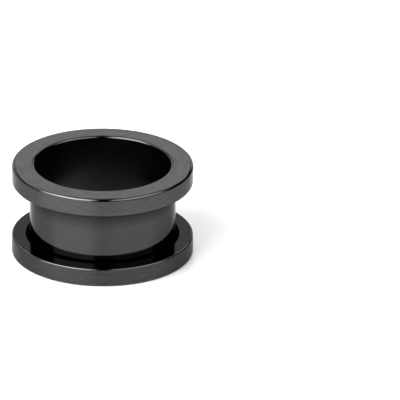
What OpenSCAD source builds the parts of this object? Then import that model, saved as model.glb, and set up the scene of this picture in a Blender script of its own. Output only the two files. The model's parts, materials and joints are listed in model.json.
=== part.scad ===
// Screw-fit ear tunnel: a flanged tube whose free end screws into a loose back flange.
// It lies on its back flange. The origin is at the middle of that flange's outer face,
// and +Z runs along the bore towards the front flange.

/* [Fit in the ear] */
// Outer diameter of the tube, the size that the tunnel is named by
tube_d = 16; // [12:0.5:25]
// Thickness of the tube's wall between the flanges
tube_wall = 0.55; // [0.5:0.05:1.5]
// Length of bare tube between the flanges, where the ear lobe sits
wear_length = 6.1; // [4:0.05:12]

/* [Flanges] */
// How far both flanges stand out from the tube
flange_reach = 1.95; // [1:0.05:4]
// Thickness of the front flange
front_t = 2.2; // [1.6:0.05:3]
// Thickness of the back flange
back_t = 2.05; // [1.6:0.05:3]
// Radius that rounds the outer edges of the front flange
front_round = 0.36; // [0.1:0.01:0.5]
// Radius that rounds the outer edges of the back flange
back_round = 0.18; // [0.1:0.01:0.4]
// Radius that rounds the front edge of the bore
bore_round = 0.3; // [0.05:0.01:0.35]

/* [Screw thread] */
// Distance between neighbouring turns of the thread
thread_pitch = 0.5; // [0.4:0.05:0.6]
// Height of the thread from root to crest
thread_depth = 0.18; // [0.1:0.01:0.2]
// How much smaller the threaded end is than the tube, which leaves the shoulder that seats
neck_step = 0.15; // [0.14:0.01:0.18]
// Radial gap between the crests of the two threads
thread_gap = 0.03; // [0.02:0.01:0.05]
// Radius that rounds the tube's free end, inside
end_round = 0.06; // [0.03:0.01:0.1]
// How far the tube's end stays above the outer face of the back flange
end_recess = 0.05; // [0.02:0.01:0.1]

/* [Seat in the back flange] */
// How far the counterbore that takes the tube's foot reaches out from the tube
sink_reach = 0.42; // [0.3:0.01:0.6]
// Depth of that counterbore
sink_depth = 0.2; // [0.1:0.05:0.5]
// Thickness of the lip that the tube's shoulder seats on
seat_lip = 0.2; // [0.2:0.05:0.3]
// Gap between the tube's shoulder and the lip when the screw is home
seat_gap = 0.02; // [0.01:0.01:0.05]
// Radius that rounds the hole's edge in the outer face
hole_round = 0.12; // [0.05:0.01:0.2]

/* [Hidden] */

tube_r = tube_d / 2;
bore_r = tube_r - tube_wall;
flange_r = tube_r + flange_reach;
front_z = back_t + wear_length;
total_h = front_z + front_t;

// The thread on the tube and the one in the back flange, from the inside outwards
male_crest_r = tube_r - neck_step;
male_root_r = male_crest_r - thread_depth;
female_crest_r = male_crest_r + thread_gap;
female_root_r = female_crest_r + thread_depth;
seat_z = back_t - sink_depth;
shoulder_z = seat_z + seat_gap;
thread_top = seat_z - seat_lip;

// Half the width of a ridge at its crest and at its root, with flanks at 30 degrees
crest_half = thread_pitch * 0.14;
root_half = crest_half + thread_depth * tan(30);
// How deep a ridge's foot and the lip's are sunk into the metal that carries them
foot_sink = 0.03;
// Part of a turn over which a ridge rises to its full height at each end
run_out = 0.2;
// How deep a ridge's ends dive under the root, as a share of the ridge's height
end_dive = 0.12;
steps_per_turn = 48;
// Bare length between a ridge's end and the edge of the threaded stretch
thread_start = 0.05;
// Turns the ridge in the back flange until its crests lie midway between those on the tube
between = 360 * (hole_round - end_recess) / thread_pitch - 180;
$fn = 96;

// Profile of a rim: a rectangle with its two outer corners rounded
module rim_profile(inner_r, z0, z1, radius) {
    translate([inner_r, z0]) square([flange_r - radius - inner_r, z1 - z0]);
    translate([inner_r, z0 + radius]) square([flange_r - inner_r, z1 - z0 - 2 * radius]);
    for (z = [z0 + radius, z1 - radius])
        translate([flange_r - radius, z]) circle(radius);
}

// What is cut from the corner at r, z to round it; up is 1 for a top edge and -1 for a bottom one
module corner_cut(r, z, up, radius) {
    extra = 0.1;
    difference() {
        translate([r - extra, up > 0 ? z - radius : z - extra]) square([radius + extra, radius + extra]);
        translate([r + radius, z - up * radius]) circle(radius);
    }
}

// Height of a ridge at turn t, as a share of its full height
function rise(t, turns) = min(1, min(t, turns - t) / run_out - end_dive);

// One corner of a ridge's section, at turn t
function ridge_point(t, r, z) = [r * cos(360 * t), r * sin(360 * t), z + thread_pitch * t];

// The four corners of a ridge's section at turn t, from its sunk foot to its crest and back
function ridge_section(t, turns, foot_r, root_r, crest_r) =
    let (share = rise(t, turns), tip_r = root_r + (crest_r - root_r) * share,
         slack = (root_half - crest_half) * (1 - share) / 2)
    [ridge_point(t, foot_r, -root_half), ridge_point(t, tip_r, -crest_half - slack),
     ridge_point(t, tip_r, crest_half + slack), ridge_point(t, foot_r, root_half)];

// A screw thread's ridge on the stretch from z0 to z1: it grows from root_r to crest_r, in or out
module ridge(z0, z1, root_r, crest_r) {
    side = sign(crest_r - root_r);
    foot_r = root_r - side * foot_sink;
    turns = (z1 - z0 - 2 * (thread_start + root_half)) / thread_pitch;
    steps = ceil(turns * steps_per_turn);
    // A ridge that points inwards keeps its flats, and not only its corners, outside crest_r
    top_r = side > 0 ? crest_r : crest_r / cos(180 / steps_per_turn);
    points = [for (i = [0:steps]) each ridge_section(i * turns / steps, turns, foot_r, root_r, top_r)];
    sides = [for (i = [0:steps - 1], k = [0:3])
        let (a = 4 * i + k, b = 4 * i + (k + 1) % 4) [a, b, b + 4, a + 4]];
    faces = concat([[3, 2, 1, 0]], sides, [[for (k = [0:3]) 4 * steps + k]]);
    turned = side > 0 ? faces : [for (f = faces) [for (k = [len(f) - 1:-1:0]) f[k]]];
    translate([0, 0, z0 + thread_start + root_half]) polyhedron(points, turned);
}

// Front flange and tube in one piece, turned from bar, with its thread on the free end
module flanged_tube() color([0.3, 0.3, 0.31]) {
    rotate_extrude() difference() {
        union() {
            rim_profile(bore_r, front_z, total_h, front_round);
            translate([bore_r, shoulder_z]) square([tube_wall, front_z - shoulder_z + front_round]);
            translate([bore_r, end_recess]) square([male_root_r - bore_r, front_z - end_recess]);
        }
        corner_cut(bore_r, total_h, 1, bore_round);
        corner_cut(bore_r, end_recess, -1, end_round);
    }
    ridge(end_recess, seat_z, male_root_r, male_crest_r);
}

// Back flange: a ring that screws onto the tube. From its outer face up, the hole has the thread,
// a plain lip that the tube's shoulder seats on, and a counterbore round the tube's foot
module screw_flange() color([0.36, 0.36, 0.37]) {
    rotate_extrude() union() {
        difference() {
            rim_profile(female_root_r, 0, back_t, back_round);
            corner_cut(female_root_r, 0, -1, hole_round);
            translate([tube_r - 1, seat_z]) square([1 + sink_reach, sink_depth + 1]);
        }
        translate([female_crest_r, thread_top]) square([thread_depth + foot_sink, seat_lip]);
    }
    rotate([0, 0, between]) ridge(hole_round, thread_top, female_root_r, female_crest_r);
}

flanged_tube();
screw_flange();
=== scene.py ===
"""Looks of a screw-fit ear tunnel in black-plated steel, lying on its back flange on a pale table."""
import json
import math

import bpy
import numpy as np
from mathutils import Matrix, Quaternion, Vector


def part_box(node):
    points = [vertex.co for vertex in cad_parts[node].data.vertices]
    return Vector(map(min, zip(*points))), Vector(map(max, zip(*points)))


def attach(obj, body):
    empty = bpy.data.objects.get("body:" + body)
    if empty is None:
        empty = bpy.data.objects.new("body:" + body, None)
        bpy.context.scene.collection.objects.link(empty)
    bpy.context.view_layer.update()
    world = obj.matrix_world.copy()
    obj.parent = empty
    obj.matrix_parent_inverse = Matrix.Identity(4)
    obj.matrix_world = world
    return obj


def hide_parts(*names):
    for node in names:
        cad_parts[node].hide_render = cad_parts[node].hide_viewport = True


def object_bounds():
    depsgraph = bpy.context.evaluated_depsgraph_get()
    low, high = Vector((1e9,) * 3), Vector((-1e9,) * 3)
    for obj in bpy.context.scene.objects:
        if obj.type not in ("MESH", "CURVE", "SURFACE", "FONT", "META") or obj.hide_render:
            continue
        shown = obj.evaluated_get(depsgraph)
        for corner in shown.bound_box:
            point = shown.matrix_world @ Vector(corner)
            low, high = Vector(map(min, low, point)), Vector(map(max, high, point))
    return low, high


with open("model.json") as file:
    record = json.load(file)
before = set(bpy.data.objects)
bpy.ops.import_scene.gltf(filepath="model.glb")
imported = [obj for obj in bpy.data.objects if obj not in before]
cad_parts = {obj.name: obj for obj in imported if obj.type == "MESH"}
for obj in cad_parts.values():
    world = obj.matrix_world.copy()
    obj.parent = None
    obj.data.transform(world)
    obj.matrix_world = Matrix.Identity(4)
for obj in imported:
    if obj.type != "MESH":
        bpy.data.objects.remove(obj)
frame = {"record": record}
cad_low, cad_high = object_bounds()

MM = 0.001

# Sizes of the turned parts, in millimetres, read from the frame and from the record's mounts
MOUNTS = {mount["name"]: mount for mount in frame["record"]["mounts"]}
FLANGE_R = cad_high.x / MM
TOTAL_H = cad_high.z / MM
RING_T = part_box("screw_flange")[1].z / MM
TUBE_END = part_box("flanged_tube")[0].z / MM
BORE_R = MOUNTS["tunnel_bore"]["dims"]["r_mm"]
TUBE_R = MOUNTS["lobe_seat"]["dims"]["r_mm"]
TUBE_MIDDLE = MOUNTS["lobe_seat"]["pos_m"][2] / MM
TUBE_HALF = MOUNTS["lobe_seat"]["dims"]["length_mm"] / 2
FRONT_Z = TUBE_MIDDLE + TUBE_HALF
SHOULDER_Z = TUBE_MIDDLE - TUBE_HALF

# Roundings of the edges, in millimetres
FRONT_ROUND = 0.36
BACK_ROUND = 0.18
BORE_ROUND = 0.3
END_ROUND = 0.06
HOLE_ROUND = 0.12
EDGE_BREAK = 0.03

# Seat in the back flange: a counterbore round the tube's foot, and a lip under the tube's shoulder
SINK_REACH = 0.42
SEAT_GAP = 0.02
SEAT_LIP = 0.2
SINK_R = TUBE_R + SINK_REACH
SEAT_Z = SHOULDER_Z - SEAT_GAP
THREAD_TOP = SEAT_Z - SEAT_LIP

# Screw thread, on the tube's free end and in the back flange
THREAD_PITCH = 0.5
THREAD_DEPTH = 0.18
# Half a crest's width as a share of the pitch, and the lean of the flanks in degrees
CREST_SHARE = 0.14
FLANK_LEAN = 30
# Bare length between a ridge's end and the edge of the threaded stretch
THREAD_START = 0.05
# Part of a turn over which a ridge rises to its full height at each end
RUN_OUT = 0.2
# How far the crests on the tube's end stand back from the tube, and from the crests in the back flange
NECK_STEP = 0.15
CREST_GAP = 0.03
CREST_HALF = CREST_SHARE * THREAD_PITCH
FLANK = THREAD_DEPTH * math.tan(math.radians(FLANK_LEAN))
TUBE_CREST_R = TUBE_R - NECK_STEP
TUBE_ROOT_R = TUBE_CREST_R - THREAD_DEPTH
RING_CREST_R = TUBE_CREST_R + CREST_GAP
RING_ROOT_R = RING_CREST_R + THREAD_DEPTH
# Share of a turn by which the ring's ridge is turned, so that its crests lie between the tube's
BETWEEN = (HOLE_ROUND - TUBE_END) / THREAD_PITCH - 0.5

# How finely the parts are cut into faces
SEGMENTS = 288
ROUND_STEPS = 10
THREAD_ROW = 0.025
ANGLES = np.arange(SEGMENTS) * 2 * math.pi / SEGMENTS
COSINE = np.cos(ANGLES)
SINE = np.sin(ANGLES)
COLUMN = np.arange(SEGMENTS)
BESIDE = (COLUMN + 1) % SEGMENTS
# How far to each side of a point, in millimetres of height or in turns, its slope is measured
SLOPE_STEP = 0.002


class Outline:
    """The closed profile of a turned part, run after run, each with its finish and its normals."""

    def __init__(self):
        self.runs = []

    def add(self, finish, points, normals, ridge=None):
        self.runs.append({"finish": finish, "points": points, "normals": normals, "ridge": ridge})

    def line(self, finish, start, end, steps=1):
        """A straight run; the metal lies on its left as it goes from start to end."""
        (r0, z0), (r1, z1) = start, end
        length = math.hypot(r1 - r0, z1 - z0)
        normal = ((z1 - z0) / length, (r0 - r1) / length)
        points = [(r0 + (r1 - r0) * i / steps, z0 + (z1 - z0) * i / steps) for i in range(steps + 1)]
        self.add(finish, points, [normal] * (steps + 1))

    def round(self, finish, centre, radius, first, last, steps=ROUND_STEPS):
        """A rounded edge about centre, from angle first to angle last in degrees, counter-clockwise."""
        turns = [math.radians(first + (last - first) * i / steps) for i in range(steps + 1)]
        normals = [(math.cos(a), math.sin(a)) for a in turns]
        points = [(centre[0] + radius * n[0], centre[1] + radius * n[1]) for n in normals]
        self.add(finish, points, normals)

    def thread(self, finish, radius, z_from, z_to, side, low, high, ahead=0.0):
        """A threaded run, at the radius of its root.

        Its ridge lies between the heights low and high. It rises outwards where side is 1, and inwards
        where side is -1. It is turned by ahead, a share of a turn.
        """
        steps = round(abs(z_to - z_from) / THREAD_ROW)
        points = [(radius, z_from + (z_to - z_from) * i / steps) for i in range(steps + 1)]
        margin = THREAD_START + CREST_HALF + FLANK
        turns = (high - low - 2 * margin) / THREAD_PITCH
        ridge = {"side": side, "first": low + margin, "turns": turns, "ahead": ahead}
        self.add(finish, points, [(side, 0.0)] * (steps + 1), ridge)


def smooth(x):
    """0 below 0, 1 above 1, and a smooth rise between."""
    x = np.clip(x, 0.0, 1.0)
    return x * x * (3 - 2 * x)


def ridge_height(z, turn, ridge):
    """Height of the thread's ridge over its root at z, turn being the angle as a share of a full turn."""
    turn = turn - ridge["ahead"]
    phase = (z - ridge["first"]) / THREAD_PITCH - turn
    whole = np.round(phase)
    shape = smooth((CREST_HALF + FLANK - np.abs(phase - whole) * THREAD_PITCH) / FLANK)
    along = turn + whole
    rise = smooth(np.minimum(along, ridge["turns"] - along) / RUN_OUT)
    return THREAD_DEPTH * shape * rise


def ring_radius(r, z, ridge):
    """The radius all the way round at height z, and how it changes with height and with angle."""
    if ridge is None:
        level = np.zeros(SEGMENTS)
        return np.full(SEGMENTS, r), level, level
    turns = ANGLES / (2 * math.pi)
    radius = r + ridge["side"] * ridge_height(z, turns, ridge)
    rise_z = ridge_height(z + SLOPE_STEP, turns, ridge) - ridge_height(z - SLOPE_STEP, turns, ridge)
    rise_a = ridge_height(z, turns + SLOPE_STEP, ridge) - ridge_height(z, turns - SLOPE_STEP, ridge)
    slope_z = ridge["side"] * rise_z / (2 * SLOPE_STEP)
    slope_a = ridge["side"] * rise_a / (2 * SLOPE_STEP * 2 * math.pi)
    return radius, slope_z, slope_a


def spun_point(point, normal, ridge):
    """A point of a profile, spun into a ring: its places, and the way that the metal faces at each."""
    (r, z), (outwards, upwards) = point, normal
    radius, slope_z, slope_a = ring_radius(r, z, ridge)
    lean = slope_a / radius
    places = np.stack([radius * COSINE, radius * SINE, np.full(SEGMENTS, z)], 1)
    facing = np.stack([outwards * (COSINE + lean * SINE), outwards * (SINE - lean * COSINE),
                       upwards - outwards * slope_z], 1)
    return places, facing / np.linalg.norm(facing, axis=1, keepdims=True)


def turned_piece(name, outline, finishes, body, node):
    """Spins an outline into one closed mesh with true normals and a finish for each run."""
    finish_names = list(finishes)
    rings, corner_normals, finish_numbers = [], [], []
    for run in outline.runs:
        last_facing = None
        for point, normal in zip(run["points"], run["normals"]):
            places, facing = spun_point(point, normal, run["ridge"])
            if last_facing is not None:
                corners = [last_facing, last_facing[BESIDE], facing[BESIDE], facing]
                corner_normals.append(np.stack(corners, 1))
                finish_numbers.append(np.full(SEGMENTS, finish_names.index(run["finish"])))
            # A run begins on the ring that the one before it ended on
            if last_facing is not None or not rings:
                rings.append(places)
            last_facing = facing
    # The outline is closed, so its last ring is its first one again
    rings.pop()
    low = np.arange(len(rings))[:, None] * SEGMENTS
    high = np.roll(low, -1, axis=0)
    faces = np.stack([low + COLUMN, low + BESIDE, high + BESIDE, high + COLUMN], 2).reshape(-1, 4)

    mesh = bpy.data.meshes.new(name)
    mesh.from_pydata((np.concatenate(rings) * MM).tolist(), [], faces.tolist())
    for material in finishes.values():
        mesh.materials.append(material)
    mesh.polygons.foreach_set("material_index", np.concatenate(finish_numbers).astype(np.int32))
    mesh.shade_smooth()
    mesh.normals_split_custom_set(np.concatenate(corner_normals).reshape(-1, 3).tolist())
    piece = bpy.data.objects.new(name, mesh)
    bpy.context.scene.collection.objects.link(piece)
    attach(piece, body)
    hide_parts(node)


def add_rim(outline, finish, z0, z1, radius):
    """The outer wall of a flange, from its lower face to its upper one, with both edges rounded."""
    inner = FLANGE_R - radius
    outline.round("rim", (inner, z0 + radius), radius, -90, 0)
    outline.line(finish, (FLANGE_R, z0 + radius), (FLANGE_R, z1 - radius), steps=4)
    outline.round("rim", (inner, z1 - radius), radius, 0, 90)


def tube_outline():
    """Front flange and tube: down the bore, up the thread and tube, round the rim, in over the face."""
    o = Outline()
    o.line("bore", (BORE_R, TOTAL_H - BORE_ROUND), (BORE_R, TUBE_END + END_ROUND), steps=12)
    o.round("edge", (BORE_R + END_ROUND, TUBE_END + END_ROUND), END_ROUND, 180, 270, steps=4)
    o.line("face", (BORE_R + END_ROUND, TUBE_END), (TUBE_ROOT_R, TUBE_END))
    o.thread("thread", TUBE_ROOT_R, TUBE_END, SHOULDER_Z, 1, low=TUBE_END, high=SEAT_Z)
    o.line("tube", (TUBE_ROOT_R, SHOULDER_Z), (TUBE_R - EDGE_BREAK, SHOULDER_Z))
    o.round("tube", (TUBE_R - EDGE_BREAK, SHOULDER_Z + EDGE_BREAK), EDGE_BREAK, -90, 0, steps=3)
    o.line("tube", (TUBE_R, SHOULDER_Z + EDGE_BREAK), (TUBE_R, FRONT_Z), steps=6)
    o.line("inner_face", (TUBE_R, FRONT_Z), (FLANGE_R - FRONT_ROUND, FRONT_Z), steps=2)
    add_rim(o, "rim", FRONT_Z, TOTAL_H, FRONT_ROUND)
    o.line("face", (FLANGE_R - FRONT_ROUND, TOTAL_H), (BORE_R + BORE_ROUND, TOTAL_H), steps=4)
    o.round("edge", (BORE_R + BORE_ROUND, TOTAL_H - BORE_ROUND), BORE_ROUND, 90, 180)
    return o


def ring_outline():
    """Back flange: down its lip and thread, out under it, round the rim, in to the counterbore."""
    o = Outline()
    o.line("bore", (RING_CREST_R, SEAT_Z), (RING_CREST_R, THREAD_TOP), steps=2)
    o.line("thread", (RING_CREST_R, THREAD_TOP), (RING_ROOT_R, THREAD_TOP))
    o.thread("thread", RING_ROOT_R, THREAD_TOP, HOLE_ROUND, -1,
             low=HOLE_ROUND, high=THREAD_TOP, ahead=BETWEEN)
    o.round("edge", (RING_ROOT_R + HOLE_ROUND, HOLE_ROUND), HOLE_ROUND, 180, 270, steps=6)
    o.line("face", (RING_ROOT_R + HOLE_ROUND, 0), (FLANGE_R - BACK_ROUND, 0), steps=3)
    add_rim(o, "back_rim", 0, RING_T, BACK_ROUND)
    o.line("inner_face", (FLANGE_R - BACK_ROUND, RING_T), (SINK_R + EDGE_BREAK, RING_T), steps=4)
    o.round("recess", (SINK_R + EDGE_BREAK, RING_T - EDGE_BREAK), EDGE_BREAK, 90, 180, steps=3)
    o.line("recess", (SINK_R, RING_T - EDGE_BREAK), (SINK_R, SEAT_Z))
    o.line("recess", (SINK_R, SEAT_Z), (RING_CREST_R, SEAT_Z), steps=2)
    return o


class Wire:
    """A socket that takes part in expressions: each operator adds a Math node."""

    def __init__(self, tree, socket):
        self.tree = tree
        self.socket = socket

    def node(self, kind, settings=None, inputs=None, out=0):
        """Adds a node: settings first, then a value or a link for each named socket."""
        made = self.tree.nodes.new(kind)
        for key, value in (settings or {}).items():
            setattr(made, key, value)
        for key, value in (inputs or {}).items():
            if isinstance(value, Wire):
                self.tree.links.new(value.socket, made.inputs[key])
            else:
                made.inputs[key].default_value = value
        return Wire(self.tree, made.outputs[out]) if made.outputs else None

    def math(self, operation, *values):
        return self.node("ShaderNodeMath", {"operation": operation}, dict(enumerate(values)))

    def ramp(self, nought, one, rise="SMOOTHSTEP"):
        """0 where this is nought, 1 where it is one, with a soft rise between and flat beyond."""
        return self.node("ShaderNodeMapRange", {"interpolation_type": rise}, {0: self, 1: nought, 2: one})

    def parts(self):
        """The three parts of a vector."""
        return [self.node("ShaderNodeSeparateXYZ", inputs={0: self}, out=i) for i in range(3)]

    def __add__(self, other):
        return self.math("ADD", self, other)

    def __sub__(self, other):
        return self.math("SUBTRACT", self, other)

    def __mul__(self, other):
        return self.math("MULTIPLY", self, other)

    def __truediv__(self, other):
        return self.math("DIVIDE", self, other)

    def __rsub__(self, other):
        return self.math("SUBTRACT", other, self)

    __radd__ = __add__
    __rmul__ = __mul__


def grey(value):
    return (value, value, value, 1.0)


# The turned streaks: how many per radian round the part, per metre across a face and per metre up a
# wall, and how high they stand in the relief
STREAKS_ROUND = 7.5
STREAKS_OUTWARDS = 2600.0
STREAKS_UPWARDS = 6500.0
STREAK_RELIEF = 0.0002
# The buffing wheel's clouds: how many per metre, and how far they change the shade and the roughness
CLOUDS = 420.0
CLOUD_SHADE = 0.16
CLOUD_ROUGHNESS = 0.3
# The wheel's fine swirls: how many per metre, and how high they stand in the relief
SWIRLS = 1300.0
SWIRL_RELIEF = 0.00003
# How high a relief of 1 is, in metres
RELIEF_UNIT = 0.001


def steel(name, tint, roughness, streaks, corner=None, edge_tint=0.6):
    """Black-plated steel, turned and then buffed: streaks round the part, clouds and fine swirls.

    Streaks is how strong the streaks are. Edge_tint is the share that is left of the steel's reflections
    at a grazing angle. Corner paints shade into the colour, as a shadow in a corner would: the colour
    falls from full, at the corner's first height, to the corner's share at its second one.
    """
    material = bpy.data.materials.new(name)
    material.use_nodes = True
    tree = material.node_tree
    tree.nodes.clear()
    start = Wire(tree, None)
    place = start.node("ShaderNodeTexCoord", out="Object")
    x, y, z = place.parts()
    radius = start.math("SQRT", x * x + y * y)
    # The streaks are long round the part, and fine across it
    across = start.node("ShaderNodeCombineXYZ", inputs={
        0: x / radius * STREAKS_ROUND, 1: y / radius * STREAKS_ROUND, 2: radius * STREAKS_OUTWARDS})
    marks = start.node("ShaderNodeTexNoise", {"noise_dimensions": "4D"}, {
        "Vector": across, "W": z * STREAKS_UPWARDS, "Scale": 1.0, "Detail": 3.0, "Roughness": 0.6})
    clouds = start.node("ShaderNodeTexNoise", inputs={"Vector": place, "Scale": CLOUDS, "Detail": 2.0})
    swirl = start.node("ShaderNodeTexNoise", inputs={
        "Vector": place, "Scale": SWIRLS, "Detail": 5.0, "Roughness": 0.7})
    shade = 1.0 + (clouds - 0.5) * CLOUD_SHADE + (marks - 0.5) * streaks
    # Painted shade: darkens the colour between the corner's two heights, in place of the shade under a
    # flange
    if corner:
        full_z, dark_z, share = corner
        shade = shade * (1.0 - z.ramp(full_z * MM, dark_z * MM, "LINEAR") * (1.0 - share))
    colour = start.node("ShaderNodeMix", {"data_type": "RGBA", "blend_type": "MULTIPLY"}, {
        0: 1.0, 6: grey(tint), 7: shade}, out=2)
    rough = roughness * (1.0 + (clouds - 0.5) * CLOUD_ROUGHNESS)
    relief = marks * (STREAK_RELIEF * streaks) + swirl * SWIRL_RELIEF
    bump = start.node("ShaderNodeBump", inputs={
        "Strength": 1.0, "Distance": RELIEF_UNIT, "Height": relief})
    surface = start.node("ShaderNodeBsdfPrincipled", inputs={
        "Base Color": colour, "Metallic": 1.0, "Roughness": rough,
        "Specular Tint": grey(edge_tint), "Normal": bump})
    start.node("ShaderNodeOutputMaterial", inputs={"Surface": surface})
    return material


# The table: a wide disc, in metres, with a smooth white coat
TABLE_R = 1.2
TABLE_SIDES = 96
TABLE_SHADE = 0.63
TABLE_ROUGHNESS = 0.3


def table_top():
    """The pale table that the tunnel lies on."""
    material = bpy.data.materials.new("white_table")
    material.use_nodes = True
    coat = material.node_tree.nodes["Principled BSDF"]
    coat.inputs["Base Color"].default_value = grey(TABLE_SHADE)
    coat.inputs["Roughness"].default_value = TABLE_ROUGHNESS
    bpy.ops.mesh.primitive_circle_add(
        vertices=TABLE_SIDES, radius=TABLE_R, fill_type="NGON", location=(0, 0, 0))
    table = bpy.context.object
    table.name = "table"
    table.data.materials.append(material)


# How bright the tent's cloth is, as a multiple of the white that the camera sees behind the table
TENT_POWER = 1.28
# How bright each lit part of the cloth is, as a multiple of that. A rise is added towards the end of a
# part that is brightest
LEFT_CLOTH = 2.0
LEFT_RISE = 5.7
RIGHT_CLOTH = 2.2
TOP_CLOTH = 0.8
BACK_CLOTH = 0.75
BACK_RISE = 0.5
LEFT_LOW = 1.75
RIGHT_LOW = 0.4
BACK_LOW = 0.5
BACK_MIDDLE = 2.1
LEFT_HIGH = 2.0
RIGHT_HIGH = 1.6
BACK_GLOW = 1.1
LEFT_GLOW = 0.45
LEFT_GLOW_RISE = 0.6
# How much of the back cloth's brightness is gone at its right end
BACK_FADE = 0.5


def studio():
    """A plain soft light tent: dark cloth with lit parts, bounded to the right, to the back and upwards.

    A ramp's two numbers say where a lit part ends and where it has its full brightness, as components
    of the direction in which the cloth is seen.
    """
    world = bpy.data.worlds.new("light_tent")
    bpy.context.scene.world = world
    world.use_nodes = True
    tree = world.node_tree
    tree.nodes.clear()
    start = Wire(tree, None)
    right, back, up = start.node("ShaderNodeTexCoord", out="Generated").parts()
    front = back.ramp(0.02, -0.07)
    behind = 1.0 - front
    over_table = up.ramp(-0.05, 0.1)
    near_table = up.ramp(0.38, 0.33) * over_table
    raised = up.ramp(0.40, 0.50)
    under_top = up.ramp(0.68, 0.60)
    overhead = up.ramp(0.80, 0.93)
    sides = 1.0 - overhead

    left_cloth = right.ramp(-0.07, -0.13) * raised * (
        (right.ramp(-0.05, -0.45) * LEFT_RISE + LEFT_CLOTH) * sides + overhead * TOP_CLOTH)
    left_low = right.ramp(-0.19, -0.24) * back.ramp(-0.10, -0.16) * over_table * LEFT_LOW
    right_cloth = right.ramp(0.11, 0.20) * raised * (sides * RIGHT_CLOTH + TOP_CLOTH)
    right_low = right.ramp(0.32, 0.37) * over_table * RIGHT_LOW

    faded = right.ramp(0.6, 0.2) * BACK_FADE + (1.0 - BACK_FADE)
    back_cloth = up.ramp(0.60, 0.68) * (sides * BACK_RISE + BACK_CLOTH) * faded
    back_low = back.ramp(0.80, 0.90) * up.ramp(0.46, 0.41) * BACK_LOW
    middle = right.ramp(-0.4, -0.2) * right.ramp(0.3, 0.16)
    back_middle = middle * back.ramp(0.60, 0.70) * up.ramp(0.41, 0.46) * under_top * BACK_MIDDLE
    left_high = right.ramp(-0.05, -0.15) * up.ramp(0.49, 0.53) * under_top * LEFT_HIGH
    beyond = right.ramp(0.10, 0.20) * right.ramp(0.58, 0.48)
    right_high = beyond * up.ramp(0.44, 0.50) * under_top * RIGHT_HIGH
    back_high = start.math("MAXIMUM", back_middle, left_high + right_high)
    back_glow = back.ramp(0.62, 0.72) * right.ramp(0.48, 0.38) * near_table * BACK_GLOW
    left_glow = right.ramp(-0.45, -0.55) * (
        back.ramp(0.50, 0.60) * near_table * LEFT_GLOW_RISE
        + up.ramp(0.27, 0.19) * over_table * LEFT_GLOW)
    glow = start.math("MAXIMUM", back_glow, left_glow)

    tent = (front * (left_cloth + left_low + right_cloth + right_low)
            + behind * (back_cloth + back_low + back_high + glow))
    is_camera = start.node("ShaderNodeLightPath", out="Is Camera Ray")
    strength = tent * TENT_POWER * (1.0 - is_camera) + is_camera
    cloth = start.node("ShaderNodeBackground", inputs={"Color": grey(1.0), "Strength": strength})
    start.node("ShaderNodeOutputWorld", inputs={"Surface": cloth})
    bpy.context.scene.view_settings.view_transform = "Standard"


# The photograph's camera: a long lens, far back, looking down, with the tunnel at the left of the frame.
# Angles are in degrees and distances in metres
FRAME_PX = 400
TUNNEL_PX = (102.60, 206.36)
PX_PER_MM = 9.12
CAMERA_ELEVATION = 23.71
CAMERA_ROLL = 0.17
CAMERA_DISTANCE = 0.794
CAMERA_NEAR = 0.01
CAMERA_FAR = 10.0


def photo_camera():
    """Aims the camera past the tunnel's middle, so that the tunnel lies where the photograph has it."""
    lens_px = PX_PER_MM / MM * CAMERA_DISTANCE
    elevation = math.radians(CAMERA_ELEVATION)
    back = Vector((0, -math.cos(elevation), math.sin(elevation)))
    middle = Vector((0, 0, TOTAL_H / 2 * MM))
    data = bpy.data.cameras.new("photo_camera")
    data.lens = lens_px / FRAME_PX * data.sensor_width
    data.clip_start = CAMERA_NEAR
    data.clip_end = CAMERA_FAR
    camera = bpy.data.objects.new("photo_camera", data)
    bpy.context.scene.collection.objects.link(camera)
    aside = Vector((TUNNEL_PX[0] - FRAME_PX / 2, FRAME_PX / 2 - TUNNEL_PX[1], -lens_px)).normalized()
    straight = (-back).to_track_quat("-Z", "Y")
    roll = Quaternion((0, 0, 1), math.radians(CAMERA_ROLL))
    camera.rotation_mode = "QUATERNION"
    camera.rotation_quaternion = straight @ roll @ aside.rotation_difference(Vector((0, 0, -1)))
    camera.location = middle + back * CAMERA_DISTANCE
    bpy.context.scene.camera = camera


# The plating's shade, a neutral grey, on the part's different surfaces. DARK_STEEL on the tube and
# BACK_STEEL on the back rim are painted shade: the rim's steel made darker for the shade of the table
# near the part, which they reflect
SATIN_STEEL = 0.0768
BLACK_STEEL = 0.062
DARK_STEEL = 0.05
BACK_STEEL = 0.047
# Painted shade: the counterbore is near black, darker than its own reflections make it
RECESS_PAINTED_SHADE = 0.004
# Painted shade in the corner under the front flange: two heights between which the tube's colour is
# darkened, and the share left
TUBE_PAINTED_SHADE = (FRONT_Z - 2.35, FRONT_Z - 0.85, 0.42)

finishes = {
    "face": steel("satin_face", SATIN_STEEL, roughness=0.4, streaks=1.2),
    "inner_face": steel("polished_inner_face", BLACK_STEEL, roughness=0.05, streaks=0.4),
    "rim": steel("polished_rim", BLACK_STEEL, roughness=0.09, streaks=0.9),
    # The back rim's colour has painted shade from the table near the part
    "back_rim": steel("buffed_back_rim", BACK_STEEL, roughness=0.3, streaks=1.0),
    # The tube's colour has painted shade: in the corner under the front flange, and from the table near
    # the part
    "tube": steel("buffed_tube", DARK_STEEL, roughness=0.09, streaks=0.3, corner=TUBE_PAINTED_SHADE),
    "bore": steel("bored_wall", DARK_STEEL, roughness=0.22, streaks=0.3),
    # Painted shade: the counterbore's near-black colour and faint grazing reflections stand in for its
    # shade
    "recess": steel("dull_recess", RECESS_PAINTED_SHADE, roughness=0.5, streaks=0.3, edge_tint=0.05),
    "edge": steel("rounded_edge", DARK_STEEL, roughness=0.1, streaks=0.2),
    "thread": steel("cut_thread", BLACK_STEEL, roughness=0.22, streaks=0.4),
}
turned_piece("front_and_tube", tube_outline(), finishes, "front", "flanged_tube")
turned_piece("back_ring", ring_outline(), finishes, "back", "screw_flange")
table_top()
studio()
photo_camera()
